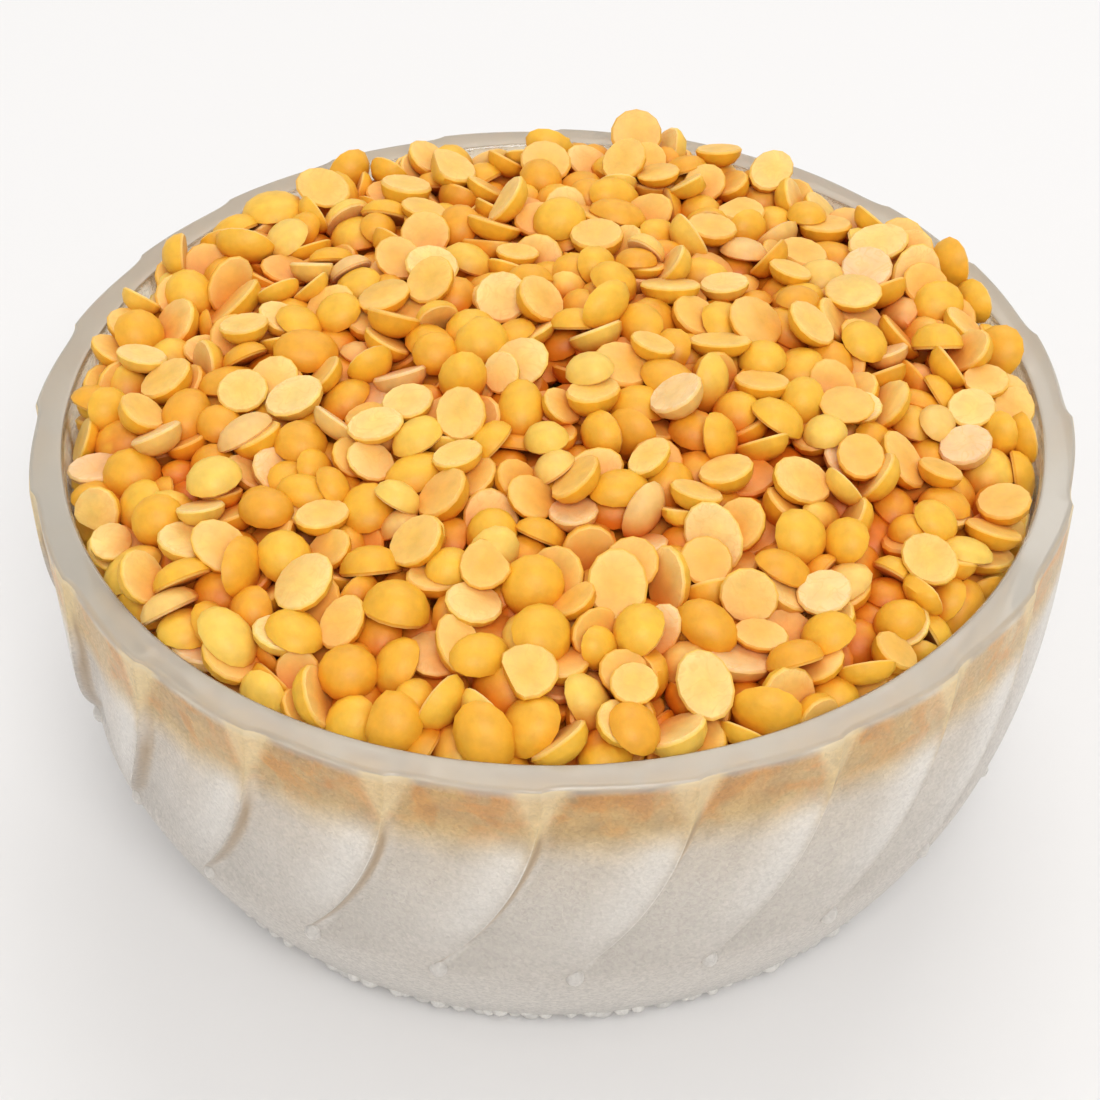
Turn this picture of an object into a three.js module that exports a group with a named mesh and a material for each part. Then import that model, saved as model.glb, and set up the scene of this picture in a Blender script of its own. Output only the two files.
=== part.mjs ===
// Small pressed-glass bowl with swirling flutes, heaped with split yellow lentils.
// Millimetres, +Z up, the bowl stands on z = 0 and its axis is the Z axis.
import * as THREE from 'three';

// Driving dimensions of the bowl
const rimRadius = 52.5; // over the ridges
const bowlHeight = 44.2;
const footRadius = 42.3; // where the wall's curve would meet the floor
const footEdgeHeight = 2.2; // top of the rounded lower edge
const restRadius = 39.5; // flat underside that the bowl stands on
const rimWidth = 3.6; // from the inner edge out to a ridge
const rimRounding = 0.6;
const innerFloorHeight = 5.5;
const innerFloorRadius = 38;

// Flutes: hollows between sharp ridges, which end above a plain band round the foot
const fluteCount = 24;
const fluteDrop = 2.1; // a hollow gets three quarters as deep as this
const fluteRimDrop = 0.75; // the hollows are shallower at the rim
const fluteEaseHeight = 30; // and reach full depth below this
const fluteEndHeight = 14.6; // hollows are closed below this
const fluteFullHeight = 19.5; // hollows are full depth above this
const swirl = THREE.MathUtils.degToRad(13.5); // turn of a ridge from the rim to its end
const frontRidge = THREE.MathUtils.degToRad(-91.1); // a ridge faces the front
const fluteFall = 0.055; // the hollow falls away steeply on one side of a ridge
const fluteRimFall = 0.1; // less steeply at the rim
const fluteReturn = 1.3; // and comes back gently to the next

// Heap of lentils
const heapGap = 0.3; // clearance to the glass
const heapEdgeDrop = 1.9; // level at the wall, below the rim
const heapCrown = 8.2; // dome above that level
const seedRelief = 1.6; // unevenness of the surface
const seedWaveLength = 11;
const seedWaveCount = 5;

// Columns of facets across one flute, closer together beside its ridge
const columnShares = [0, 0.06, 0.17, 0.36, 0.58, 0.8];
const columnsPerFlute = columnShares.length;
const columns = fluteCount * columnsPerFlute;
const heapColumns = 88;

// Radius of the outer wall over its ridges: nearly upright above, rounding in below
function ridgeRadius(z) {
  return rimRadius - (rimRadius - footRadius) * (1 - z / bowlHeight) ** 3;
}

// Radius of the inside at a height above the inner floor
function innerRadius(z) {
  const share = (z - innerFloorHeight) / (bowlHeight - innerFloorHeight);
  const top = rimRadius - rimWidth;
  return top - (top - innerFloorRadius) * Math.max(0, 1 - share) ** 3;
}

// Depth of a flute's hollow, from a ridge at share 0 to the next ridge at 1
function hollowDepth(share, z) {
  const towardsRim = THREE.MathUtils.smoothstep(z, fluteEaseHeight, bowlHeight);
  const fall = THREE.MathUtils.lerp(fluteFall, fluteRimFall, towardsRim);
  const drop = THREE.MathUtils.lerp(fluteDrop, fluteRimDrop, towardsRim);
  const section = (1 - Math.exp(-share / fall)) * (1 - share) ** fluteReturn;
  return drop * THREE.MathUtils.smoothstep(z, fluteEndHeight, fluteFullHeight) * section;
}

// Turn of the ridges at a height: it grows with the square of the drop from the rim
function swirlAt(z) {
  const drop = (bowlHeight - z) / (bowlHeight - fluteEndHeight);
  return -swirl * Math.min(1, drop) ** 2;
}

function named(name, geometry, color, roughness) {
  const material = new THREE.MeshStandardMaterial({ color, roughness, metalness: 0 });
  const mesh = new THREE.Mesh(geometry, material);
  mesh.name = name;
  return mesh;
}

// Turns a profile, listed from the axis below to the axis above, about Z.
// The place function may move each ring's points, given the column number.
function turned(profile, segments, place) {
  const geometry = new THREE.LatheGeometry(profile.map((p) => new THREE.Vector2(p.r, p.z)), segments);
  const position = geometry.attributes.position;
  for (let i = 0; i < position.count; i += 1) {
    const column = Math.floor(i / profile.length) % segments;
    const point = profile[i % profile.length];
    const at = place(point, column);
    position.setXYZ(i, at.r * Math.cos(at.angle), at.r * Math.sin(at.angle), at.z);
  }
  return geometry;
}

// ---- Bowl ----------------------------------------------------------------
const outerHeights = [4.5, 8, 11.5, fluteEndHeight, 17, fluteFullHeight, 24, 29, 34.5, 40];
const innerHeights = [6.5, 8.5, 12, 17, 24, 33];

const bowlProfile = [
  { r: 0, z: 0 },
  { r: restRadius, z: 0 },
  { r: ridgeRadius(footEdgeHeight) - 1, z: 0.75 },
  { r: ridgeRadius(footEdgeHeight), z: footEdgeHeight, outer: true },
  ...outerHeights.map((z) => ({ r: ridgeRadius(z), z, outer: true })),
  { r: rimRadius, z: bowlHeight - rimRounding, outer: true },
  { r: rimRadius - rimRounding, z: bowlHeight, outer: true },
  { r: rimRadius - rimWidth + rimRounding, z: bowlHeight },
  { r: rimRadius - rimWidth, z: bowlHeight - rimRounding },
  ...innerHeights.toReversed().map((z) => ({ r: innerRadius(z), z })),
  { r: innerFloorRadius, z: innerFloorHeight },
  { r: 0, z: innerFloorHeight },
];

// The outer wall and the underside turn with the swirl, and the inside is plain
function bowlPlace(point, column) {
  const share = columnShares[column % columnsPerFlute];
  const hollow = point.outer ? hollowDepth(share, point.z) : 0;
  const turn = point.outer || point.z < footEdgeHeight ? swirlAt(point.z) : 0;
  return {
    r: point.r - hollow,
    angle: frontRidge + turn + ((Math.floor(column / columnsPerFlute) + share) / fluteCount) * 2 * Math.PI,
    z: point.z,
  };
}

const bowl = named('bowl', turned(bowlProfile, columns, bowlPlace), 0xd6d2cb, 0.35);

// ---- Lentils -------------------------------------------------------------
// The heap fills the bowl and stands above its rim in a low dome with an uneven surface.
const edgeHeight = bowlHeight - heapEdgeDrop;
const edgeRadius = innerRadius(edgeHeight) - heapGap;
const sideHeights = [6.5, 8.5, 12, 17, 24, 33];
const ringShares = [0.955, 0.87, 0.77, 0.66, 0.54, 0.42, 0.3, 0.18, 0.07];

const heapProfile = [
  { r: 0, z: innerFloorHeight + heapGap },
  { r: innerFloorRadius - heapGap, z: innerFloorHeight + heapGap },
  ...sideHeights.map((z) => ({ r: innerRadius(z) - heapGap, z })),
  { r: edgeRadius, z: edgeHeight, relief: 0.5 },
  ...ringShares.map((share) => ({
    r: edgeRadius * share,
    z: edgeHeight + heapCrown * (1 - share ** 2),
    relief: 1,
  })),
  { r: 0, z: edgeHeight + heapCrown },
];

// Crossed waves about a seed and a half long, between -1 and 1
function seedWaves(x, y) {
  let sum = 0;
  for (let i = 0; i < seedWaveCount; i += 1) {
    const heading = (i / seedWaveCount) * Math.PI;
    const along = x * Math.cos(heading) + y * Math.sin(heading);
    sum += Math.cos((2 * Math.PI * along) / seedWaveLength + i * i);
  }
  return sum / seedWaveCount;
}

function heapPlace(point, column) {
  const angle = (column / heapColumns) * 2 * Math.PI;
  const waves = seedWaves(point.r * Math.cos(angle), point.r * Math.sin(angle));
  const lift = point.relief ? point.relief * seedRelief * waves : 0;
  return { r: point.r, angle, z: point.z + lift };
}

const lentils = named('lentils', turned(heapProfile, heapColumns, heapPlace), 0xf0b04a, 0.6);

const group = new THREE.Group();
group.add(bowl, lentils);
export default group;
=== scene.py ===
import math
import random

import bpy
import numpy as np
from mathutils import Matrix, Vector


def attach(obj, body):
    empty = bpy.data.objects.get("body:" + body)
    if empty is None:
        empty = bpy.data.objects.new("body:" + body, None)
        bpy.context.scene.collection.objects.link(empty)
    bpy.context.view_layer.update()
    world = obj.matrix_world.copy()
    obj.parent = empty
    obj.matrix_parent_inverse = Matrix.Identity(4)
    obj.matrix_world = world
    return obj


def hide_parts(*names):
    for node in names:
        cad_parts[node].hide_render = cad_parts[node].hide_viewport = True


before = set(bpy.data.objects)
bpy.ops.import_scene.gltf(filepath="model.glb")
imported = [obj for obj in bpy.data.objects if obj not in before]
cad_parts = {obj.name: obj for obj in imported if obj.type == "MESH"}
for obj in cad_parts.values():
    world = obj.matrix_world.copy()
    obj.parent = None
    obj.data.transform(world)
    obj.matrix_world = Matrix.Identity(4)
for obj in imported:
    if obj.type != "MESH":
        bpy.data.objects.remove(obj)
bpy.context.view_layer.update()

# ---- Bowl ------------------------------------------------------------------
# A small bowl of milky pressed glass. Twenty-four swirling hollows, sharp where they meet,
# are pressed into its wall and end above a plain band round the foot.
RIM_RADIUS = 0.0525
BOWL_HEIGHT = 0.0442
FOOT_RADIUS = 0.0423
FOOT_EDGE_HEIGHT = 0.0022
REST_RADIUS = 0.0395
RIM_WIDTH = 0.0036
RIM_ROUNDING = 0.0006
INNER_FLOOR_HEIGHT = 0.0055
INNER_FLOOR_RADIUS = 0.038
FLUTES = 24
FLUTE_DROP = 0.0021
FLUTE_RIM_DROP = 0.00075
FLUTE_EASE = 0.030
FLUTE_END = 0.0146
FLUTE_FULL = 0.0195
SWIRL = math.radians(13.5)
FRONT_RIDGE = math.radians(-91.1)
FLUTE_FALL = 0.055
FLUTE_RIM_FALL = 0.1
FLUTE_RETURN = 1.3
FLUTE_STEPS = 20
STEP_CROWDING = 0.11
ON_AXIS = 1e-4
TOLERANCE = 1e-5


def deselect_all():
    bpy.ops.object.select_all(action="DESELECT")


def pick(piece, mask):
    """Selects the piece's vertices where mask is true, ready for an edit mode operator."""
    mesh = piece.data
    mesh.polygons.foreach_set("select", np.zeros(len(mesh.polygons), bool))
    mesh.edges.foreach_set("select", np.zeros(len(mesh.edges), bool))
    mesh.vertices.foreach_set("select", mask)


def vertex_places(piece):
    places = np.zeros(len(piece.data.vertices) * 3)
    piece.data.vertices.foreach_get("co", places)
    return places.reshape(-1, 3)


def turned(name, profile, steps, start=0.0, turn=2 * math.pi):
    """Draws a profile point by point, from axis to axis, and spins it into a body or a slice."""
    deselect_all()
    bpy.ops.mesh.primitive_plane_add(size=0.01)
    piece = bpy.context.object
    piece.name = piece.data.name = name
    bpy.ops.object.mode_set(mode="EDIT")
    bpy.ops.mesh.select_all(action="SELECT")
    bpy.ops.mesh.merge(type="CENTER")
    here = (0.0, 0.0)
    for number, (radius, height) in enumerate(profile):
        step = (radius - here[0], 0, height - here[1])
        if number == 0:
            bpy.ops.transform.translate(value=step)
        else:
            bpy.ops.mesh.extrude_vertices_move(TRANSFORM_OT_translate={"value": step})
        here = (radius, height)
    bpy.ops.mesh.select_all(action="SELECT")
    bpy.ops.transform.rotate(value=-start, orient_axis="Z", center_override=(0, 0, 0))
    bpy.ops.mesh.spin(steps=steps, angle=turn, center=(0, 0, 0), axis=(0, 0, 1))
    bpy.ops.mesh.select_all(action="SELECT")
    bpy.ops.mesh.remove_doubles(threshold=1e-6)
    bpy.ops.mesh.normals_make_consistent(inside=False)
    bpy.ops.mesh.faces_shade_smooth()
    bpy.ops.object.mode_set(mode="OBJECT")
    return piece


def ease(low, high, value):
    share = min(1.0, max(0.0, (value - low) / (high - low)))
    return share * share * (3 - 2 * share)


def ridge_radius(z):
    return RIM_RADIUS - (RIM_RADIUS - FOOT_RADIUS) * (1 - z / BOWL_HEIGHT) ** 3


def inner_radius(z):
    top = RIM_RADIUS - RIM_WIDTH
    share = (z - INNER_FLOOR_HEIGHT) / (BOWL_HEIGHT - INNER_FLOOR_HEIGHT)
    return top - (top - INNER_FLOOR_RADIUS) * max(0.0, 1 - share) ** 3


def hollow_depth(share, z):
    """Depth of a hollow: a steep fall beside its ridge, then a slow return to the next."""
    towards_rim = ease(FLUTE_EASE, BOWL_HEIGHT, z)
    fall = FLUTE_FALL + (FLUTE_RIM_FALL - FLUTE_FALL) * towards_rim
    drop = FLUTE_DROP + (FLUTE_RIM_DROP - FLUTE_DROP) * towards_rim
    deepest = drop * ease(FLUTE_END, FLUTE_FULL, z)
    return deepest * (1 - math.exp(-share / fall)) * (1 - share) ** FLUTE_RETURN


def crowded(share):
    """Where a column stands between two ridges: the columns crowd towards both."""
    return share - STEP_CROWDING * math.sin(2 * math.pi * share)


def swirl_at(z):
    return SWIRL * min(1.0, (BOWL_HEIGHT - z) / (BOWL_HEIGHT - FLUTE_END)) ** 2


def rim_arc(centre_radius, first, last):
    """Points round a corner of the rim, from one angle to the other, in degrees."""
    centre = BOWL_HEIGHT - RIM_ROUNDING
    turns = [math.radians(first + (last - first) * i / 4) for i in range(5)]
    return [
        (centre_radius + RIM_ROUNDING * math.cos(t), centre + RIM_ROUNDING * math.sin(t))
        for t in turns
    ]


# One slice, from a ridge to the next, is spun from the bowl's profile
wall_heights = np.concatenate([
    np.linspace(FOOT_EDGE_HEIGHT, FLUTE_END, 10),
    np.linspace(FLUTE_END, FLUTE_FULL, 8)[1:],
    np.linspace(FLUTE_FULL, BOWL_HEIGHT - RIM_ROUNDING, 20)[1:-1],
])
inner_heights = np.linspace(BOWL_HEIGHT - RIM_ROUNDING, INNER_FLOOR_HEIGHT, 18)[1:]
outer_rim = rim_arc(RIM_RADIUS - RIM_ROUNDING, 0, 90)
bowl_profile = (
    [(0, 0), (REST_RADIUS, 0), (REST_RADIUS + 0.0018, 0.0003), (REST_RADIUS + 0.0032, 0.0011)]
    + [(ridge_radius(z), z) for z in wall_heights]
    + outer_rim
    + rim_arc(RIM_RADIUS - RIM_WIDTH + RIM_ROUNDING, 90, 180)
    + [(inner_radius(z), z) for z in inner_heights]
    + [(INNER_FLOOR_RADIUS * 0.6, INNER_FLOOR_HEIGHT), (0, INNER_FLOOR_HEIGHT)]
)
bowl = turned("glass_bowl", bowl_profile, FLUTE_STEPS, FRONT_RIDGE, 2 * math.pi / FLUTES)

# Hollows: each column of the slice's outer wall is drawn in towards the axis, level by level
places = vertex_places(bowl)
height = places[:, 2]
radius = np.hypot(places[:, 0], places[:, 1])
around = (np.arctan2(places[:, 1], places[:, 0]) - FRONT_RIDGE) / (2 * math.pi) * FLUTES
column = np.round((around % 1) * FLUTE_STEPS) % FLUTE_STEPS
levels = sorted({*wall_heights, *(z for _, z in outer_rim)})
for step in range(1, FLUTE_STEPS):
    shift = (crowded(step / FLUTE_STEPS) - step / FLUTE_STEPS) * 2 * math.pi / FLUTES
    pick(bowl, (column == step) & (radius > ON_AXIS))
    bpy.ops.object.mode_set(mode="EDIT")
    bpy.ops.transform.rotate(value=-shift, orient_axis="Z", center_override=(0, 0, 0))
    bpy.ops.object.mode_set(mode="OBJECT")
outer = np.zeros(len(places), bool)
for r, z in [(ridge_radius(z), z) for z in wall_heights] + outer_rim:
    outer |= (abs(radius - r) < TOLERANCE) & (abs(height - z) < TOLERANCE)
for z in levels:
    if z <= FLUTE_END:
        continue
    at_level = outer & (abs(height - z) < TOLERANCE)
    for step in range(1, FLUTE_STEPS):
        pick(bowl, at_level & (column == step))
        inward = 1 - hollow_depth(crowded(step / FLUTE_STEPS), z) / ridge_radius(z)
        bpy.ops.object.mode_set(mode="EDIT")
        bpy.ops.transform.resize(value=(inward, inward, 1), center_override=(0, 0, 0))
        bpy.ops.object.mode_set(mode="OBJECT")

# Swirl: each level of the outer wall is turned further, down to the end of the hollows
below = (height < FOOT_EDGE_HEIGHT - TOLERANCE) & (radius > ON_AXIS)
for z in wall_heights:
    at_level = outer & (abs(height - z) < TOLERANCE)
    pick(bowl, at_level | below if z == wall_heights[0] else at_level)
    bpy.ops.object.mode_set(mode="EDIT")
    bpy.ops.transform.rotate(value=swirl_at(z), orient_axis="Z", center_override=(0, 0, 0))
    bpy.ops.object.mode_set(mode="OBJECT")

# The slice is repeated round the axis and the copies are joined into one body
bpy.ops.object.mode_set(mode="EDIT")
bpy.ops.mesh.select_all(action="SELECT")
bpy.ops.mesh.spin(
    dupli=True,
    steps=FLUTES - 1,
    angle=2 * math.pi * (FLUTES - 1) / FLUTES,
    center=(0, 0, 0),
    axis=(0, 0, 1),
)
bpy.ops.mesh.select_all(action="SELECT")
bpy.ops.mesh.remove_doubles(threshold=5e-6)
bpy.ops.mesh.normals_make_consistent(inside=False)
bpy.ops.object.mode_set(mode="OBJECT")
bpy.ops.object.shade_smooth_by_angle(angle=math.radians(32))

# Each vertex keeps how near it is to a ridge, to the steep face beside it, and to the
# inside, for the glass to read; from these the glass paints a shade line beside each ridge
places = vertex_places(bowl)
height = places[:, 2]
radius = np.hypot(places[:, 0], places[:, 1])
turn = np.array([swirl_at(z) for z in height])
phase = (np.arctan2(places[:, 1], places[:, 0]) - FRONT_RIDGE + turn) / (2 * math.pi) * FLUTES % 1
fluted = np.array([ease(FLUTE_END - 0.001, FLUTE_FULL, z) for z in height])
inner = np.array([inner_radius(z) for z in height])
inside = (radius < inner + 2e-4) & (height > INNER_FLOOR_HEIGHT - 1e-4)
fluted[inside] = 0
fluted[height > BOWL_HEIGHT - 0.5 * RIM_ROUNDING] = 0
marks = {
    "painted_ridge_shade": fluted * np.interp(phase, [0.0, 0.02, 0.05, 0.1], [0, 1, 1, 0]),
    "crest": fluted * np.interp(phase, [0, 0.25, 0.75, 1], [1, 0, 0, 1]),
    "steep": fluted * np.interp(phase, [0.07, 0.13, 0.98, 1], [1, 0, 0, 1]),
    "swell": fluted * np.interp(phase, [0.5, 0.82, 0.93, 1], [0, 1, 1, 0.3]),
    "inside": inside,
}
for name, values in marks.items():
    bowl.data.attributes.new(name, "FLOAT", "POINT")
    bowl.data.attributes[name].data.foreach_set("value", values.astype(np.float32))

# Beads: two rows of small rounded knobs of uneven size along the edge of the foot, and a
# knob at the lower end of each ridge
BEADS = 140
BEAD_RADIUS = 0.00105
BEAD_REACH = 0.0027
BEAD_FROST_AND_GLINT = 0.6
KNOB_RADIUS = 0.0009
KNOB_TURN = 0.035
KNOB_RISE = 0.0008
KNOB_FROST_AND_GLINT = 0.5
deselect_all()
bpy.ops.mesh.primitive_ico_sphere_add(subdivisions=2, radius=1)
bead = bpy.context.object
random.seed(11)
beads = []
for number in range(2 * BEADS + FLUTES):
    knob = bead.copy()
    knob.data = bead.data.copy()
    bpy.context.collection.objects.link(knob)
    row = number // BEADS
    if row < 2:
        angle = 2 * math.pi * (number + 0.5 * row + random.uniform(-0.45, 0.45)) / BEADS
        size = BEAD_RADIUS * random.uniform(0.6, 1.2) * (1, 0.8)[row]
        level = (
            size + random.uniform(0, 4e-4),
            FOOT_EDGE_HEIGHT + random.uniform(-2e-4, 8e-4),
        )[row]
        reach = (REST_RADIUS + BEAD_REACH, ridge_radius(level) - 0.55 * size)[row]
        reach += random.uniform(-2e-4, 2e-4)
        knob.location = (reach * math.cos(angle), reach * math.sin(angle), level)
        knob.scale = (size, size * random.uniform(0.85, 1.3), size)
    else:
        angle = FRONT_RIDGE + 2 * math.pi * number / FLUTES - SWIRL + KNOB_TURN
        level = FLUTE_END + KNOB_RISE
        reach = ridge_radius(level) - 0.45 * KNOB_RADIUS
        knob.location = (reach * math.cos(angle), reach * math.sin(angle), level)
        size = KNOB_RADIUS * random.uniform(0.8, 1.15)
        knob.scale = (size, size, 1.3 * size)
    knob.rotation_euler = (0, 0, angle)
    beads.append(knob)
bpy.data.objects.remove(bead)
deselect_all()
for knob in beads:
    knob.select_set(True)
bpy.context.view_layer.objects.active = beads[0]
bpy.ops.object.join()
bpy.ops.object.transform_apply(location=True, rotation=True, scale=True)
bpy.ops.object.shade_smooth()
foot_beads = bpy.context.object
foot_beads.name = foot_beads.data.name = "glass_foot_beads"
levels = vertex_places(foot_beads)[:, 2]
# Each bead and knob keeps how far it is frosted and whitened; the whitening is a painted glint
foot_beads.data.attributes.new("bead", "FLOAT", "POINT")
frost_and_glint = np.where(levels > 0.5 * FLUTE_END, KNOB_FROST_AND_GLINT, BEAD_FROST_AND_GLINT)
foot_beads.data.attributes["bead"].data.foreach_set("value", frost_and_glint.astype(np.float32))


def new_material(name):
    material = bpy.data.materials.new(name)
    material.use_nodes = True
    return material, material.node_tree.nodes["Principled BSDF"]


def put(material, socket, value):
    """Links an output to the socket, or sets the socket to a plain value."""
    if isinstance(value, bpy.types.NodeSocket):
        material.node_tree.links.new(value, socket)
    else:
        socket.default_value = value


def add_node(material, kind, **inputs):
    node = material.node_tree.nodes.new(kind)
    for name, value in inputs.items():
        put(material, node.inputs[name.replace("_", " ")], value)
    return node


def calc(material, operation, first, second, clamp=False):
    node = material.node_tree.nodes.new("ShaderNodeMath")
    node.operation = operation
    node.use_clamp = clamp
    put(material, node.inputs[0], first)
    put(material, node.inputs[1], second)
    return node.outputs[0]


def blend(material, factor, first, second, mode="MIX"):
    node = material.node_tree.nodes.new("ShaderNodeMix")
    node.data_type = "RGBA"
    node.blend_type = mode
    put(material, node.inputs[0], factor)
    put(material, node.inputs[6], first)
    put(material, node.inputs[7], second)
    return node.outputs[2]


def ramp(material, factor, stops):
    """A colour ramp whose stops are pairs of a place and a grey or a colour."""
    node = add_node(material, "ShaderNodeValToRGB", Fac=factor)
    elements = node.color_ramp.elements
    while len(elements) < len(stops):
        elements.new(0.5)
    for element, (place, value) in zip(elements, stops):
        element.position = place
        element.color = (*value, 1) if isinstance(value, tuple) else (value, value, value, 1)
    return node.outputs["Color"]


def attribute(material, name):
    node = material.node_tree.nodes.new("ShaderNodeAttribute")
    node.attribute_name = name
    return node.outputs["Fac"]


def rescale(material, value, low, high, to_low=0.0, to_high=1.0):
    node = add_node(
        material,
        "ShaderNodeMapRange",
        Value=value,
        From_Min=low,
        From_Max=high,
        To_Min=to_low,
        To_Max=to_high,
    )
    return node.outputs["Result"]


def over_height(material, stops):
    """A value that changes with height: pairs of a height in metres and a value."""
    where = add_node(material, "ShaderNodeTexCoord").outputs["Object"]
    rise = add_node(material, "ShaderNodeSeparateXYZ", Vector=where).outputs["Z"]
    share = calc(material, "DIVIDE", rise, BOWL_HEIGHT)
    return ramp(material, share, [(z / BOWL_HEIGHT, value) for z, value in stops])


# Grain: a fine uneven pattern that darkens and lightens glass and lentils alike. It is one
# node group, and each material gives it its own scale and strength.
grain_group = bpy.data.node_groups.new("grain", "ShaderNodeTree")
for name, usual in (
    ("Scale", 1900),
    ("Detail", 2),
    ("Distortion", 0.7),
    ("Darkest", 0.9),
    ("Lightest", 1.05),
):
    socket = grain_group.interface.new_socket(name, in_out="INPUT", socket_type="NodeSocketFloat")
    socket.default_value = usual
for name in ("Pattern", "Shade"):
    grain_group.interface.new_socket(name, in_out="OUTPUT", socket_type="NodeSocketFloat")
given = grain_group.nodes.new("NodeGroupInput").outputs
pattern = grain_group.nodes.new("ShaderNodeTexNoise")
spread = grain_group.nodes.new("ShaderNodeMapRange")
result = grain_group.nodes.new("NodeGroupOutput")
for output, socket in (
    (grain_group.nodes.new("ShaderNodeTexCoord").outputs["Object"], pattern.inputs["Vector"]),
    (given["Scale"], pattern.inputs["Scale"]),
    (given["Detail"], pattern.inputs["Detail"]),
    (given["Distortion"], pattern.inputs["Distortion"]),
    (pattern.outputs["Fac"], spread.inputs["Value"]),
    (given["Darkest"], spread.inputs["To Min"]),
    (given["Lightest"], spread.inputs["To Max"]),
    (pattern.outputs["Fac"], result.inputs["Pattern"]),
    (spread.outputs["Result"], result.inputs["Shade"]),
):
    grain_group.links.new(output, socket)
spread.inputs["From Min"].default_value = 0.3
spread.inputs["From Max"].default_value = 0.7


def grain(material, **values):
    """Places the grain in a material, with its own values, and returns its outputs."""
    node = material.node_tree.nodes.new("ShaderNodeGroup")
    node.node_tree = grain_group
    for name, value in values.items():
        node.inputs[name].default_value = value
    return node.outputs


glass, frosted = new_material("stippled_pressed_glass")
painted_ridge_shade, crest, steep, swell, within = [
    attribute(glass, name) for name in ("painted_ridge_shade", "crest", "steep", "swell", "inside")
]
where = add_node(glass, "ShaderNodeTexCoord").outputs["Object"]
stipple = add_node(
    glass, "ShaderNodeTexNoise", Vector=where, Scale=2300, Detail=1.5, Distortion=0.7
).outputs["Fac"]
pressed = over_height(glass, [(0.0430, 1.0), (0.0437, 0.0)])
pressed = calc(glass, "SUBTRACT", pressed, within, clamp=True)
stippled = calc(glass, "MULTIPLY", stipple, pressed)
bump = add_node(glass, "ShaderNodeBump", Strength=1.0, Distance=0.00012, Height=stippled)

# The ridges' steep sides where they face the eye, and the swells beside the ridges, get a
# painted highlight. Seen aslant, a steep side gets a painted shade: a thin dark line
facing = add_node(glass, "ShaderNodeLayerWeight", Blend=0.5).outputs["Facing"]
aslant = rescale(glass, facing, 0.36, 0.6)
steep = calc(glass, "MULTIPLY", steep, calc(glass, "SUBTRACT", 1.0, aslant))
steep = calc(glass, "MULTIPLY", steep, over_height(glass, [(0.034, 1.0), (0.039, 0.1)]))
swell = calc(glass, "MULTIPLY", swell, over_height(glass, [
    (0.016, 0.0), (0.025, 0.55), (0.035, 0.8), (0.039, 0.1),
]))
painted_highlight = calc(glass, "MAXIMUM", calc(glass, "MAXIMUM", steep, swell), attribute(glass, "bead"))
painted_ridge_shade = calc(glass, "MULTIPLY", painted_ridge_shade, calc(glass, "MULTIPLY", aslant, over_height(glass, [
    (0.016, 0.5), (0.030, 0.9), (0.041, 1.0),
])))
low_down = over_height(glass, [(0.036, 1.0), (0.0435, 0.1)])
tooth = rescale(glass, calc(glass, "SUBTRACT", crest, low_down), 0, 0.35)

# Tint of the frosted part: pale on the rim and golden below it, with orange patches where lentils
# lie against the glass, and darker in the grain of the stipple. Beside each ridge it carries a
# painted dark shade line, and the steep sides, swells and beads carry a whiter painted highlight
golden = calc(glass, "MULTIPLY", pressed, over_height(glass, [
    (0.034, 0.0), (0.037, 1.0), (0.043, 1.0),
]))
patches = rescale(glass, grain(glass, Scale=240, Detail=3)["Pattern"], 0.46, 0.6)
patches = calc(glass, "MULTIPLY", patches, over_height(glass, [(0.0355, 0.0), (0.0395, 1.0)]))
patches = calc(glass, "MULTIPLY", patches, pressed)
tint = over_height(glass, [
    (0.0, (0.92, 0.88, 0.82)),
    (0.015, (0.84, 0.78, 0.71)),
    (0.033, (0.86, 0.79, 0.71)),
    (0.038, (1.0, 0.74, 0.36)),
    (0.0428, (1.0, 0.73, 0.36)),
    (0.0436, (0.79, 0.73, 0.62)),
])
tint = blend(glass, patches, tint, (0.88, 0.46, 0.15, 1))
tint = blend(glass, painted_ridge_shade, tint, (0.47, 0.33, 0.19, 1))
tint = blend(glass, calc(glass, "MULTIPLY", tooth, 0.8), tint, (0.94, 0.76, 0.42, 1))
tint = blend(glass, painted_highlight, tint, (0.95, 0.93, 0.89, 1))
shade = grain(glass, Scale=2300, Detail=1.5, Darkest=0.93, Lightest=1.04)["Shade"]
put(glass, frosted.inputs["Base Color"], blend(glass, pressed, tint, shade, mode="MULTIPLY"))
put(glass, frosted.inputs["Normal"], bump.outputs["Normal"])
frosted.inputs["Roughness"].default_value = 0.45
frosted.inputs["IOR"].default_value = 1.5
frosted.inputs["Transmission Weight"].default_value = 0.4

# Where the glass is clear, it bends the view of what is behind it
clear = add_node(glass, "ShaderNodeBsdfPrincipled", Normal=bump.outputs["Normal"])
clear_tint = blend(glass, golden, (0.99, 0.985, 0.98, 1), (1.0, 0.90, 0.68, 1))
put(glass, clear.inputs["Base Color"], clear_tint)
put(glass, clear.inputs["Roughness"], rescale(glass, pressed, 0, 1, 0.05, 0.24))
clear.inputs["IOR"].default_value = 1.5
clear.inputs["Transmission Weight"].default_value = 1.0

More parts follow.
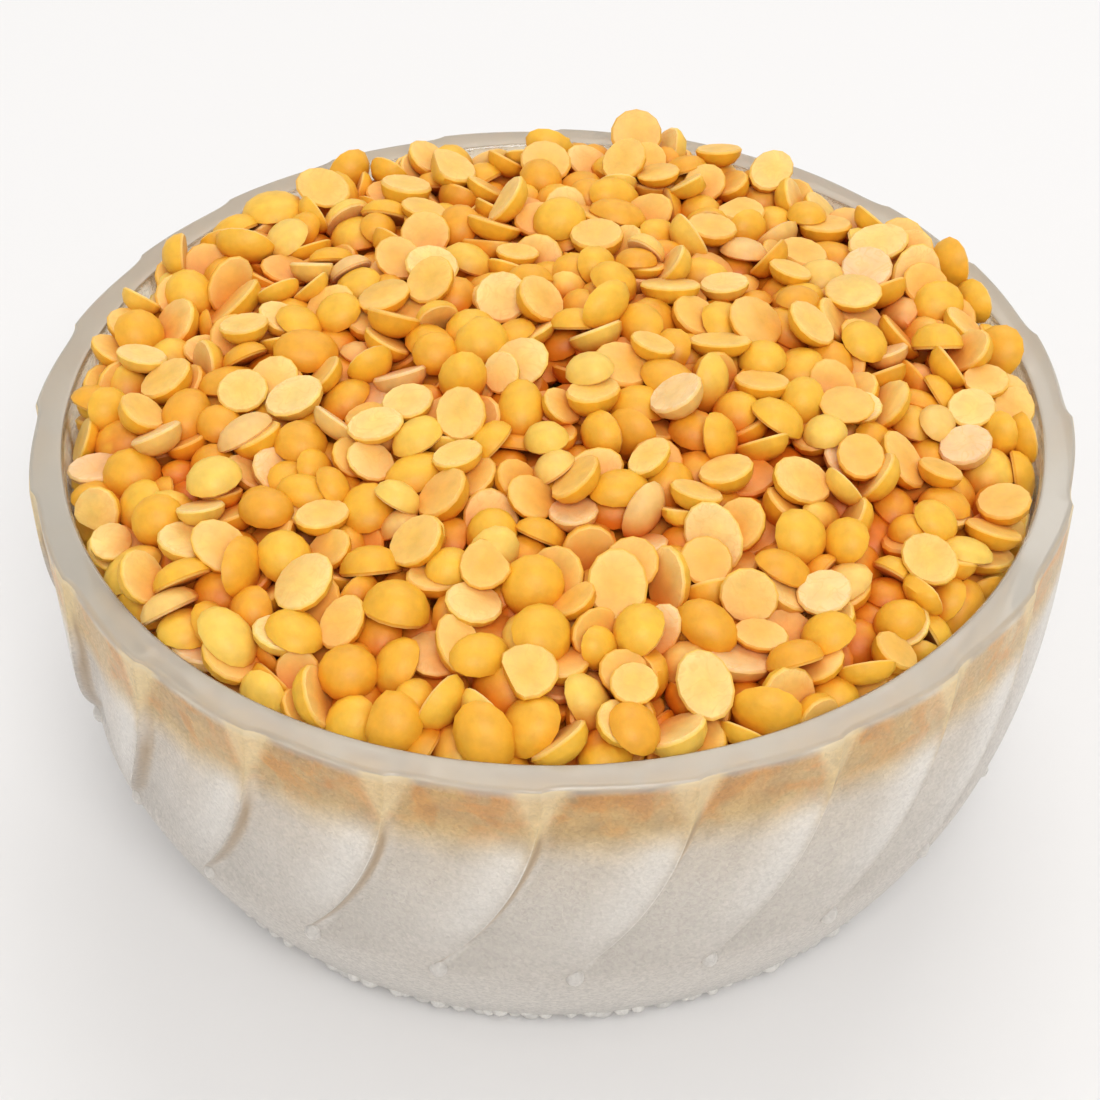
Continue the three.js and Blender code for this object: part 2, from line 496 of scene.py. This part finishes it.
# The outside is lightly frosted, more so at a grazing view, on the foot and on the rim's top,
# and the inside is clear
frost = calc(glass, "MULTIPLY", rescale(glass, facing, 0.3, 0.8, 0.2, 0.5), over_height(glass, [
    (0.034, 1.0), (0.040, 0.4), (0.0430, 0.4), (0.0437, 0.0),
]))
frost = calc(glass, "ADD", frost, over_height(glass, [
    (0.0, 0.5),
    (0.012, 0.35),
    (0.021, 0.1),
    (0.033, 0.18),
    (0.036, 0.26),
    (0.0428, 0.32),
    (0.0438, 0.55),
]))
speckle = calc(glass, "MULTIPLY", rescale(glass, stipple, 0.3, 0.7, -0.1, 0.1), pressed)
frost = calc(glass, "MULTIPLY", frost, calc(glass, "ADD", speckle, 1.0))
# The painted highlight and the painted shade line are also more frosted, as are the teeth and
# patches
for mark, share in ((painted_highlight, 0.5), (tooth, 0.35), (painted_ridge_shade, 0.6), (patches, 0.2)):
    frost = calc(glass, "ADD", frost, calc(glass, "MULTIPLY", mark, share))
frost = calc(glass, "MULTIPLY", frost, calc(glass, "SUBTRACT", 1.0, within), clamp=True)
both = glass.node_tree.nodes.new("ShaderNodeMixShader")
put(glass, both.inputs[0], frost)
put(glass, both.inputs[1], clear.outputs[0])
put(glass, both.inputs[2], frosted.outputs[0])
put(glass, glass.node_tree.nodes["Material Output"].inputs["Surface"], both.outputs[0])
for piece in (bowl, foot_beads):
    piece.data.materials.clear()
    piece.data.materials.append(glass)
    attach(piece, "root")
    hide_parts("bowl")

# Milky lining: the glass is milky on the inside, and the milk thins out unevenly higher up,
# where the lentils begin to show
LINING_TOP = 0.0412
lining_levels = list(np.linspace(INNER_FLOOR_HEIGHT, LINING_TOP, 20))
lining = turned("milky_lining", (
    [(0, 0.0016), (REST_RADIUS - 0.001, 0.0016)]
    + [(REST_RADIUS, 0.0022), (REST_RADIUS + 0.0004, 0.0038)]
    + [(inner_radius(z) + 0.0004, z) for z in lining_levels[1:]]
    + [(inner_radius(z) + 0.0002, z - 0.0002) for z in reversed(lining_levels)]
    + [(0, INNER_FLOOR_HEIGHT - 0.0002)]
), 96)
milk, shader = new_material("milky_lining")
tint = over_height(milk, [
    (0.005, (0.97, 0.92, 0.86)),
    (0.026, (0.97, 0.91, 0.83)),
    (0.0345, (0.99, 0.87, 0.70)),
    (0.038, (1.0, 0.72, 0.32)),
])
clouds = grain(milk, Scale=350, Detail=4, Distortion=0, Darkest=0.95, Lightest=1.03)
uneven = calc(milk, "MULTIPLY", clouds["Shade"], grain(milk, Darkest=0.97, Lightest=1.02)["Shade"])
put(milk, shader.inputs["Base Color"], blend(milk, 1.0, tint, uneven, mode="MULTIPLY"))
lining_end = LINING_TOP - 0.0003
thickness = over_height(milk, [(0.0325, 1.0), (0.0365, 0.4), (0.040, 0.25), (lining_end, 0.0)])
coarse = rescale(milk, clouds["Pattern"], 0.3, 0.7, -0.5, 0.5)
fine = rescale(milk, grain(milk)["Pattern"], 0.3, 0.7, -0.2, 0.2)
patches = calc(milk, "ADD", coarse, fine)
thinned = calc(milk, "MULTIPLY", patches, over_height(milk, [
    (0.030, 0.0), (0.0345, 1.0), (0.040, 0.5), (lining_end, 0.0),
]))
put(milk, shader.inputs["Alpha"], calc(milk, "ADD", thickness, thinned, clamp=True))
shader.inputs["Roughness"].default_value = 0.7
shader.inputs["Specular IOR Level"].default_value = 0.1
lining.data.materials.clear()
lining.data.materials.append(milk)
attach(lining, "root")
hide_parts("bowl")

# ---- Lentils ---------------------------------------------------------------
# Dry yellow lentils, skinned and split: each is half a seed with a flat cut face and
# a domed back, of uneven size, and some are chipped. They are poured over the core and come
# to rest. The pouring runs a hundred times larger than life, where the solver is steady.
SIM_SCALE = 100
LENTIL_RADIUS = 0.0027
LENTIL_HEIGHT = 0.0021
FACE_SHARE = 0.92
CENTRE_SHARE = 0.4
HEAP_DEPTH = 0.0078
EDGE_DROP = 0.0019
CROWN = 0.0082
LAYERS = 8
SPACING = 0.0061
LAYER_STEP = 0.0035
WALL_ROOM = 0.0034
BEHIND_CROWN = 15
BACK_EDGE = 42
WALL_GAP = 0.0003
POURING_TICKS = 60


def split_lentil(name, sides, rings, shape):
    """Half a lentil, a hundred times its size: a flat cut face below and a dome above."""
    radius = LENTIL_RADIUS * SIM_SCALE
    tall = LENTIL_HEIGHT * SIM_SCALE * shape["height"]
    deselect_all()
    bpy.ops.mesh.primitive_circle_add(
        vertices=sides, radius=radius * FACE_SHARE, fill_type="NGON"
    )
    piece = bpy.context.object
    piece.name = piece.data.name = name
    bpy.ops.object.mode_set(mode="EDIT")
    bpy.ops.mesh.select_all(action="SELECT")
    share, level = FACE_SHARE, 0.0
    for next_share, next_level in rings:
        grow = next_share / share
        bpy.ops.mesh.extrude_region_move(
            TRANSFORM_OT_translate={"value": (0, 0, (next_level - level) * tall)}
        )
        bpy.ops.transform.resize(value=(grow, grow, 1), center_override=(0, 0, 0))
        share, level = next_share, next_level
    bpy.ops.mesh.extrude_region_move(TRANSFORM_OT_translate={"value": (0, 0, (1 - level) * tall)})
    bpy.ops.mesh.merge(type="CENTER")
    bpy.ops.object.mode_set(mode="OBJECT")
    places = vertex_places(piece)
    if shape["point"]:
        pick(piece, (places[:, 0] > 0.9 * radius) & (abs(places[:, 1]) < 0.2 * radius))
        bpy.ops.object.mode_set(mode="EDIT")
        bpy.ops.transform.translate(
            value=(shape["point"] * radius, 0, 0),
            use_proportional_edit=True,
            proportional_edit_falloff="SMOOTH",
            proportional_size=0.9 * radius,
        )
        bpy.ops.object.mode_set(mode="OBJECT")
    if shape["cut"]:
        pick(piece, places[:, 0] > shape["cut"] * radius)
        bpy.ops.object.mode_set(mode="EDIT")
        bpy.ops.transform.resize(value=(0.1, 1, 1), center_override=(shape["cut"] * radius, 0, 0))
        bpy.ops.object.mode_set(mode="OBJECT")
    bpy.ops.object.mode_set(mode="EDIT")
    bpy.ops.mesh.select_all(action="SELECT")
    bpy.ops.transform.resize(value=(shape["length"], shape["width"], 1), center_override=(0, 0, 0))
    bpy.ops.transform.translate(value=(0, 0, -CENTRE_SHARE * tall))
    bpy.ops.mesh.normals_make_consistent(inside=False)
    bpy.ops.object.mode_set(mode="OBJECT")
    bpy.ops.object.shade_smooth_by_angle(angle=math.radians(45))
    corners = np.zeros(len(piece.data.loops), np.int32)
    piece.data.loops.foreach_get("vertex_index", corners)
    flat = 0.5 + 0.5 * vertex_places(piece)[corners, :2] / radius
    layer = piece.data.uv_layers[0] if piece.data.uv_layers else piece.data.uv_layers.new()
    layer.data.foreach_set("uv", flat.ravel())
    return piece


FINE_RINGS = [(1.0, 0.12), (0.93, 0.44), (0.70, 0.77), (0.36, 0.95)]
ROUGH_RINGS = [(1.0, 0.12), (0.70, 0.77)]
shapes = {
    "round": {"often": 9, "length": 1.0, "width": 0.97, "height": 1.0, "point": 0, "cut": 0},
    "oval": {"often": 8, "length": 1.12, "width": 0.88, "height": 0.95, "point": 0, "cut": 0},
    "pointed": {"often": 5, "length": 0.96, "width": 0.98, "height": 1.0, "point": 0.16, "cut": 0},
    "thick": {"often": 4, "length": 1.0, "width": 0.96, "height": 1.18, "point": 0, "cut": 0},
    "thin": {"often": 3, "length": 1.05, "width": 0.98, "height": 0.8, "point": 0.08, "cut": 0},
    "chipped": {"often": 2, "length": 1.0, "width": 1.0, "height": 1.0, "point": 0, "cut": 0.55},
}
fine = {
    kind: split_lentil(f"lentil_{kind}", 14, FINE_RINGS, shape) for kind, shape in shapes.items()
}
rough = {
    kind: split_lentil(f"body_{kind}", 8, ROUGH_RINGS, shape) for kind, shape in shapes.items()
}


def heap_height(radius):
    return BOWL_HEIGHT - EDGE_DROP + CROWN * (1 - (radius / inner_radius(BOWL_HEIGHT)) ** 2)


# Bed for the pouring: the top of a large ball stands for the core, inside an upright wall
wall = inner_radius(BOWL_HEIGHT)
ball_radius = (wall ** 2 + CROWN ** 2) / (2 * CROWN)
deselect_all()
bpy.ops.mesh.primitive_ico_sphere_add(
    radius=ball_radius * SIM_SCALE,
    location=(0, 0, (heap_height(0) - HEAP_DEPTH - ball_radius) * SIM_SCALE),
)
bed = bpy.context.object
bpy.ops.mesh.primitive_cylinder_add(
    vertices=72,
    radius=(wall - WALL_GAP) * SIM_SCALE,
    depth=2 * BOWL_HEIGHT * SIM_SCALE,
    end_fill_type="NOTHING",
    location=(0, 0, BOWL_HEIGHT * SIM_SCALE),
)
bed_wall = bpy.context.object
bpy.ops.rigidbody.world_add()
world = bpy.context.scene.rigidbody_world
world.substeps_per_frame = 6
world.solver_iterations = 12
for body, shape in ((bed, "SPHERE"), (bed_wall, "MESH")):
    deselect_all()
    body.select_set(True)
    bpy.context.view_layer.objects.active = body
    bpy.ops.rigidbody.object_add(type="PASSIVE")
    body.rigid_body.collision_shape = shape
    body.rigid_body.friction = 0.9
    body.rigid_body.collision_margin = 0.01

# The lentils start in loose layers above the bed, a seed's width apart, tilted at random
random.seed(5)
often = [shape["often"] for shape in shapes.values()]
starts = []
for layer in range(LAYERS):
    turn = random.uniform(0, math.pi)
    for row in range(-9, 10):
        for place in range(-9, 10):
            x = (place + 0.5 * (row % 2)) * SPACING
            y = row * SPACING * math.sqrt(0.75)
            if math.hypot(x, y) < wall - WALL_ROOM:
                bottom = heap_height(math.hypot(x, y)) - HEAP_DEPTH
                starts.append((
                    x * math.cos(turn) - y * math.sin(turn),
                    x * math.sin(turn) + y * math.cos(turn),
                    bottom + LAYER_STEP * (layer + 1),
                ))
for number in range(BEHIND_CROWN):  # a few more, piled up behind the crown
    starts.append((
        random.gauss(0.009, 0.003),
        random.gauss(0.036, 0.002),
        BOWL_HEIGHT + CROWN + 0.018 + 0.003 * number,
    ))
for number in range(BACK_EDGE):  # and along the wall at the back
    angle = math.radians(random.uniform(10, 165))
    reach = wall - random.uniform(0.0035, 0.0075)
    starts.append((
        reach * math.cos(angle),
        reach * math.sin(angle),
        BOWL_HEIGHT + 0.022 + LAYER_STEP * (number % 6),
    ))
poured = []
same_kind = {kind: [] for kind in shapes}
for start in starts:
    kind = random.choices(list(shapes), often)[0]
    lentil = bpy.data.objects.new(kind, rough[kind].data)
    bpy.context.collection.objects.link(lentil)
    lentil.location = [SIM_SCALE * (value + random.gauss(0, 0.0003)) for value in start]
    flip = math.pi if random.random() < 0.5 else 0
    lentil.rotation_euler = (
        flip + random.gauss(0, 0.35), random.gauss(0, 0.35), random.uniform(0, 6.28)
    )
    size = min(1.2, max(0.8, random.gauss(1, 0.09)))
    lentil.scale = (size, size * random.gauss(0.96, 0.05), size * random.gauss(1, 0.08))
    poured.append(lentil)
    same_kind[kind].append(lentil)
deselect_all()
for lentil in poured:
    lentil.select_set(True)
bpy.context.view_layer.objects.active = poured[0]
bpy.ops.rigidbody.objects_add(type="ACTIVE")
for lentil in poured:
    body = lentil.rigid_body
    body.collision_shape = "CONVEX_HULL"
    body.mass = 0.01
    body.friction = 0.6
    body.restitution = 0
    body.collision_margin = 0.004
    body.linear_damping = 0.1
    body.angular_damping = 0.25
for tick in range(1, 1 + POURING_TICKS):
    bpy.context.scene.frame_set(tick)
deselect_all()
for lentil in poured:
    lentil.select_set(True)
bpy.context.view_layer.objects.active = poured[0]
bpy.ops.object.visual_transform_apply()
bpy.ops.rigidbody.objects_remove()
bpy.data.objects.remove(bed)
bpy.data.objects.remove(bed_wall)
bpy.ops.rigidbody.world_remove()

# Those that lie where the core will be are taken out, and the rest change their rough bodies
# for fine ones. Each vertex keeps its lentil's tone and whether it is on the cut face
for kind, lentils in same_kind.items():
    face_level = -(CENTRE_SHARE - 0.01) * LENTIL_HEIGHT * SIM_SCALE * shapes[kind]["height"]
    for lentil in list(lentils):
        x, y, z = lentil.location / SIM_SCALE
        if math.hypot(x, y) > wall or z < heap_height(math.hypot(x, y)) - HEAP_DEPTH:
            lentils.remove(lentil)
            bpy.data.objects.remove(lentil)
            continue
        mesh = fine[kind].data.copy()
        count = len(mesh.vertices)
        mesh.attributes.new("tone", "FLOAT", "POINT")
        tones = np.full(count, random.random(), np.float32)
        mesh.attributes["tone"].data.foreach_set("value", tones)
        places = np.zeros(count * 3)
        mesh.vertices.foreach_get("co", places)
        on_face = places.reshape(-1, 3)[:, 2] < face_level
        mesh.attributes.new("cut_face", "FLOAT", "POINT")
        mesh.attributes["cut_face"].data.foreach_set("value", on_face.astype(np.float32))
        lentil.data = mesh

pulse, shader = new_material("split_lentil")
where = add_node(pulse, "ShaderNodeTexCoord").outputs["Object"]
tone = attribute(pulse, "tone")
dome_colour = ramp(pulse, tone, [
    (0.0, (0.76, 0.34, 0.016)),
    (0.35, (0.80, 0.41, 0.021)),
    (0.75, (0.82, 0.46, 0.035)),
    (0.92, (0.83, 0.54, 0.090)),
    (0.985, (0.80, 0.48, 0.16)),
])
face_colour = ramp(pulse, tone, [
    (0.0, (0.83, 0.46, 0.085)),
    (0.35, (0.85, 0.53, 0.13)),
    (0.75, (0.87, 0.58, 0.18)),
    (0.92, (0.88, 0.64, 0.26)),
    (0.985, (0.85, 0.57, 0.31)),
])
face_edge = add_node(pulse, "ShaderNodeUVMap").outputs["UV"]
centred = add_node(pulse, "ShaderNodeVectorMath", Vector=face_edge)
centred.operation = "SUBTRACT"
centred.inputs[1].default_value = (0.5, 0.5, 0)
reach = add_node(pulse, "ShaderNodeVectorMath", Vector=centred.outputs["Vector"])
reach.operation = "LENGTH"
paler = ramp(pulse, reach.outputs["Value"], [(0.1, 0.55), (0.38, 0.85), (0.46, 1.0)])
on_face = calc(pulse, "MULTIPLY", attribute(pulse, "cut_face"), paler)
colour = blend(pulse, on_face, dome_colour, face_colour)
mottle = grain(pulse, Scale=700, Detail=4, Distortion=0, Darkest=0.88, Lightest=1.06)["Shade"]
colour = blend(pulse, 1.0, colour, mottle, mode="MULTIPLY")
wrinkles = add_node(
    pulse, "ShaderNodeTexNoise", Vector=where, Scale=420, Detail=2, Distortion=1.5
).outputs["Fac"]
crease = ramp(pulse, wrinkles, [(0.46, 0.0), (0.5, 1.0), (0.54, 0.0)])
crease = calc(pulse, "MULTIPLY", crease, calc(pulse, "MULTIPLY", on_face, 0.45))
colour = blend(pulse, crease, colour, (0.80, 0.40, 0.08, 1))
blush = rescale(pulse, grain(pulse, Scale=260, Distortion=0.4)["Pattern"], 0.45, 0.68, 0, 0.5)
colour = blend(pulse, calc(pulse, "MULTIPLY", blush, on_face), colour, (0.85, 0.50, 0.15, 1))
# Painted shade: the deeper a lentil lies among the others, the darker and redder its colour
painted_depth_shade = calc(pulse, "MULTIPLY", attribute(pulse, "depth"), 0.9)
painted_shade_colour = blend(pulse, 1.0, colour, (0.86, 0.36, 0.04, 1), mode="MULTIPLY")
colour = blend(pulse, painted_depth_shade, colour, painted_shade_colour)
put(pulse, shader.inputs["Base Color"], colour)
pits = grain(pulse, Scale=1500, Detail=3, Distortion=0)["Pattern"]
bump = add_node(pulse, "ShaderNodeBump", Strength=0.45, Distance=0.0001, Height=pits)
put(pulse, shader.inputs["Normal"], bump.outputs["Normal"])
shader.inputs["Roughness"].default_value = 0.52
shader.inputs["Subsurface Weight"].default_value = 0.25
shader.inputs["Subsurface Radius"].default_value = (1.0, 0.4, 0.1)
shader.inputs["Subsurface Scale"].default_value = 0.0008

heaps = []
for kind, lentils in same_kind.items():
    deselect_all()
    for lentil in lentils:
        lentil.select_set(True)
    bpy.context.view_layer.objects.active = lentils[0]
    bpy.ops.object.join()
    bpy.ops.object.transform_apply(location=True, rotation=True, scale=True)
    heap = bpy.context.object
    heap.scale = (1 / SIM_SCALE,) * 3
    bpy.ops.object.transform_apply(location=True, rotation=True, scale=True)
    heap.name = heap.data.name = f"lentils_{kind}"
    heap.data.materials.clear()
    heap.data.materials.append(pulse)
    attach(heap, "root")
    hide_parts("lentils")
    heaps.append(heap)

# Each vertex keeps how deep it lies below the lentils over and beside it, from a coarse map of
# the heap's tops. Beside the wall it counts as shallow. The lentils' colour is darkened by it:
# painted shade between the lentils
CELL = 0.0025
SHALLOW = 0.0011
DEPTH_SPAN = 0.0022
WALL_FADE = 0.004
cells = 2 * math.ceil(wall / CELL) + 3
tops = np.zeros((cells, cells))
for heap in heaps:
    places = vertex_places(heap)
    row, place = np.round(places[:, :2].T / CELL).astype(int) + cells // 2
    np.maximum.at(tops, (row, place), places[:, 2])
around = [np.roll(tops, (i, j), axis=(0, 1)) for i in (-1, 0, 1) for j in (-1, 0, 1)]
tops = np.mean(around, axis=0)
for heap in heaps:
    places = vertex_places(heap)
    row, place = np.round(places[:, :2].T / CELL).astype(int) + cells // 2
    depth = np.clip((tops[row, place] - places[:, 2] - SHALLOW) / DEPTH_SPAN, 0, 1)
    depth *= np.clip((wall - np.hypot(places[:, 0], places[:, 1])) / WALL_FADE, 0, 1)
    heap.data.attributes.new("depth", "FLOAT", "POINT")
    heap.data.attributes["depth"].data.foreach_set("value", depth.astype(np.float32))
for template in [*fine.values(), *rough.values()]:
    bpy.data.objects.remove(template)

# ---- Core ------------------------------------------------------------------
# The lentils buried inside the heap, one body. Its side reaches just into the glass, and shows
# their rounded backs pressed against it, darker between them with painted shade.
core_top = heap_height(wall) - HEAP_DEPTH - 0.0004
core_profile = (
    [(0, INNER_FLOOR_HEIGHT + 0.0001), (INNER_FLOOR_RADIUS, INNER_FLOOR_HEIGHT + 0.0001)]
    + [(inner_radius(z) + 0.0001, z) for z in np.linspace(INNER_FLOOR_HEIGHT + 0.001, core_top, 20)]
    + [(wall * s, heap_height(wall * s) - HEAP_DEPTH - 0.0006) for s in np.linspace(0.95, 0, 12)]
)
core = turned("lentil_core", core_profile, 96)
buried, shader = new_material("buried_lentils")
where = add_node(buried, "ShaderNodeTexCoord").outputs["Object"]
flattened = add_node(buried, "ShaderNodeMapping", Vector=where)
flattened.inputs["Scale"].default_value = (1, 1, 1.5)
warp = add_node(buried, "ShaderNodeTexNoise", Vector=where, Scale=300, Detail=2).outputs["Color"]
warped = blend(buried, 0.002, flattened.outputs["Vector"], warp, mode="ADD")
seeds = add_node(buried, "ShaderNodeTexVoronoi", Vector=warped, Scale=200)
tone = add_node(buried, "ShaderNodeSeparateColor", Color=seeds.outputs["Color"]).outputs["Red"]
colour = ramp(buried, tone, [
    (0.0, (0.93, 0.47, 0.06)), (0.6, (0.98, 0.60, 0.11)), (1.0, (0.98, 0.74, 0.26)),
])
# Painted shade: each cell darkens to brown towards its edge, between the lentils
painted_gap_shade = ramp(buried, seeds.outputs["Distance"], [
    (0.25, (1, 1, 1)), (0.5, (0.88, 0.72, 0.5)), (0.7, (0.55, 0.32, 0.15)),
])
colour = blend(buried, 1.0, colour, painted_gap_shade, mode="MULTIPLY")
mottle = grain(buried, Darkest=0.7, Lightest=1.1)["Shade"]
colour = blend(buried, 1.0, colour, mottle, mode="MULTIPLY")
put(buried, shader.inputs["Base Color"], colour)
shader.inputs["Roughness"].default_value = 0.6
shader.inputs["Specular IOR Level"].default_value = 0.1
core.data.materials.clear()
core.data.materials.append(buried)
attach(core, "root")
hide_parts("lentils")

# ---- Floor, lights and camera ----------------------------------------------
# A plain pale floor under broad soft studio light, seen from above the front rim.
deselect_all()
bpy.ops.mesh.primitive_plane_add(size=6)
floor = bpy.context.object
floor.name = "floor"
pale, shader = new_material("pale_floor")
shader.inputs["Base Color"].default_value = (0.74, 0.726, 0.716, 1)
shader.inputs["Roughness"].default_value = 0.7
floor.data.materials.append(pale)

studio = bpy.data.worlds.new("studio")
bpy.context.scene.world = studio
studio.use_nodes = True
studio.node_tree.nodes["Background"].inputs["Color"].default_value = (1, 1, 1, 1)
studio.node_tree.nodes["Background"].inputs["Strength"].default_value = 0.72


def softbox(name, place, aim, size, power):
    lamp = bpy.data.lights.new(name, "AREA")
    lamp.shape = "DISK"
    lamp.size = size
    lamp.energy = power
    holder = bpy.data.objects.new(name, lamp)
    bpy.context.collection.objects.link(holder)
    holder.location = place
    holder.rotation_euler = (Vector(aim) - Vector(place)).to_track_quat("-Z", "Y").to_euler()


softbox("back_softbox", (0.2, 0.9, 1.4), (0, 0, 0.03), 1.2, 8)
softbox("front_softbox", (0.2, -1.1, 1.4), (0, 0, 0.03), 1.0, 16.8)

CAMERA_DISTANCE = 0.250
CAMERA_ELEVATION = math.radians(41.92)
AIM_DROP = 0.01434
SIDE_STEP = 0.00027
lens = bpy.data.cameras.new("camera")
lens.sensor_width = 36
lens.lens = 80.97
camera = bpy.data.objects.new("camera", lens)
bpy.context.collection.objects.link(camera)
forward = Vector((0, math.cos(CAMERA_ELEVATION), -math.sin(CAMERA_ELEVATION)))
upward = Vector((0, math.sin(CAMERA_ELEVATION), math.cos(CAMERA_ELEVATION)))
rim_centre = Vector((0, 0, BOWL_HEIGHT))
side_step = Vector((SIDE_STEP, 0, 0))
camera.location = rim_centre - CAMERA_DISTANCE * forward - AIM_DROP * upward - side_step
camera.rotation_euler = (math.pi / 2 - CAMERA_ELEVATION, 0, 0)
bpy.context.scene.camera = camera
bpy.context.scene.view_settings.view_transform = "Standard"
bpy.context.scene.cycles.diffuse_bounces = 4
bpy.context.scene.cycles.transmission_bounces = 14
bpy.context.scene.cycles.max_bounces = 16
